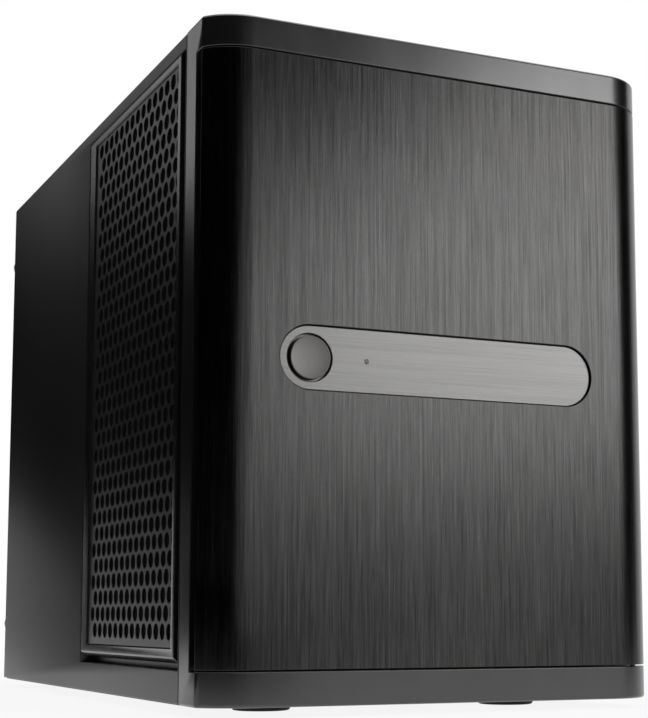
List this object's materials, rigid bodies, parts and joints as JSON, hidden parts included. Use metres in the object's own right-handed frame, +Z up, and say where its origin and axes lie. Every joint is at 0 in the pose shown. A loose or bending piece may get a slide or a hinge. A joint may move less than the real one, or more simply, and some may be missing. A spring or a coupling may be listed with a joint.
{
  "type": "mini-itx pc case",
  "caption": "Compact tower case for a mini-ITX board with a hinged brushed door over a drive cage, a lift-off side filter and round power button.",
  "frame": {"origin": "on the floor under the middle of the case's box, at the rubber feet's undersides", "axes": "+X to the right seen from the front, +Y from the door to the rear panel, +Z up"},
  "size_m": [0.211, 0.36, 0.285],
  "materials": {
    "door_aluminium": "brushed upright, dark anodised",
    "strip_aluminium": "brushed along its length, dark anodised",
    "satin_plastic": "satin black",
    "inner_plastic": "fine grain black",
    "powder_coat": "fine satin black",
    "inner_steel": "satin black",
    "fan_plastic": "black, lightly glossy",
    "tray_plastic": "fine grain black",
    "lever_plastic": "satin dark grey",
    "filter_cloth": "fine black mesh",
    "circuit_board": "green board",
    "socket_plastic": "black",
    "screw_steel": "blackened",
    "bright_metal": "plated",
    "clear_plastic": "clear",
    "rubber": "matt black"
  },
  "bodies": {
    "chassis": {"front_bezel": "satin_plastic", "hinge_pins": "screw_steel", "catch_plates": "screw_steel", "power_switch": "circuit_board", "port_module": "inner_plastic", "port_sockets": "socket_plastic", "outer_cover": "powder_coat", "thumbscrews": "screw_steel", "base_pan": "inner_steel", "front_plate": "inner_steel", "roof_rails": "inner_steel", "fan_bracket": "inner_steel", "fan_screws": "screw_steel", "drive_cage": "inner_steel", "cage_shelves": "inner_steel", "backplane": "circuit_board", "backplane_sockets": "socket_plastic", "board_tray": "inner_steel", "board_standoffs": "bright_metal", "psu_shelf": "inner_steel", "rear_panel": "inner_steel", "slot_covers": "inner_plastic", "slot_screws": "screw_steel", "rubber_feet": "rubber", "lower_fan_frame": "fan_plastic", "upper_fan_frame": "fan_plastic", "rear_fan_frame": "fan_plastic", "drive_tray_1": "tray_plastic", "drive_tray_2": "tray_plastic", "drive_tray_3": "tray_plastic", "drive_tray_4": "tray_plastic", "drive_tray_5": "tray_plastic", "drive_tray_6": "tray_plastic", "drive_tray_7": "tray_plastic", "drive_tray_8": "tray_plastic", "tray_lever_1": "lever_plastic", "tray_lever_2": "lever_plastic", "tray_lever_3": "lever_plastic", "tray_lever_4": "lever_plastic", "tray_lever_5": "lever_plastic", "tray_lever_6": "lever_plastic", "tray_lever_7": "lever_plastic", "tray_lever_8": "lever_plastic"},
    "door": {"door_skin": "door_aluminium", "door_frame": "inner_plastic", "control_strip": "strip_aluminium", "light_guide": "clear_plastic", "door_magnets": "bright_metal"},
    "power_button": {"power_button": "strip_aluminium"},
    "reset_button": {"reset_button": "inner_plastic"},
    "side_filter": {"filter_frame": "satin_plastic", "filter_sheet": "powder_coat", "filter_mesh": "filter_cloth", "filter_magnets": "bright_metal"},
    "lower_impeller": {"lower_impeller": "fan_plastic"},
    "upper_impeller": {"upper_impeller": "fan_plastic"},
    "rear_impeller": {"rear_impeller": "fan_plastic"}
  },
  "joints": [
    {"name": "door_hinge", "type": "hinge", "parent": "chassis", "child": "door", "pos_m": [0.0995, -0.1704, 0.1445], "axis": [0, 0, 1], "range_deg": [0, 110]},
    {"name": "power_button_press", "type": "slide", "parent": "door", "child": "power_button", "axis": [0, 1, 0], "range_m": [0, 0.0015], "stiffness_N_per_m": 900, "springref_m": -0.0006},
    {"name": "reset_button_press", "type": "slide", "parent": "chassis", "child": "reset_button", "axis": [0, 1, 0], "range_m": [0, 0.001], "stiffness_N_per_m": 900, "springref_m": -0.0004},
    {"name": "side_filter_lift", "type": "slide", "parent": "chassis", "child": "side_filter", "axis": [-1, 0, 0], "range_m": [0, 0.04]},
    {"name": "lower_impeller_spin", "type": "hinge", "parent": "chassis", "child": "lower_impeller", "pos_m": [-0.0825, -0.0733, 0.0835], "axis": [-1, 0, 0], "continuous": true},
    {"name": "upper_impeller_spin", "type": "hinge", "parent": "chassis", "child": "upper_impeller", "pos_m": [-0.0825, -0.0733, 0.2055], "axis": [-1, 0, 0], "continuous": true},
    {"name": "rear_impeller_spin", "type": "hinge", "parent": "chassis", "child": "rear_impeller", "pos_m": [-0.036, 0.1595, 0.145], "axis": [0, -1, 0], "continuous": true}
  ]
}
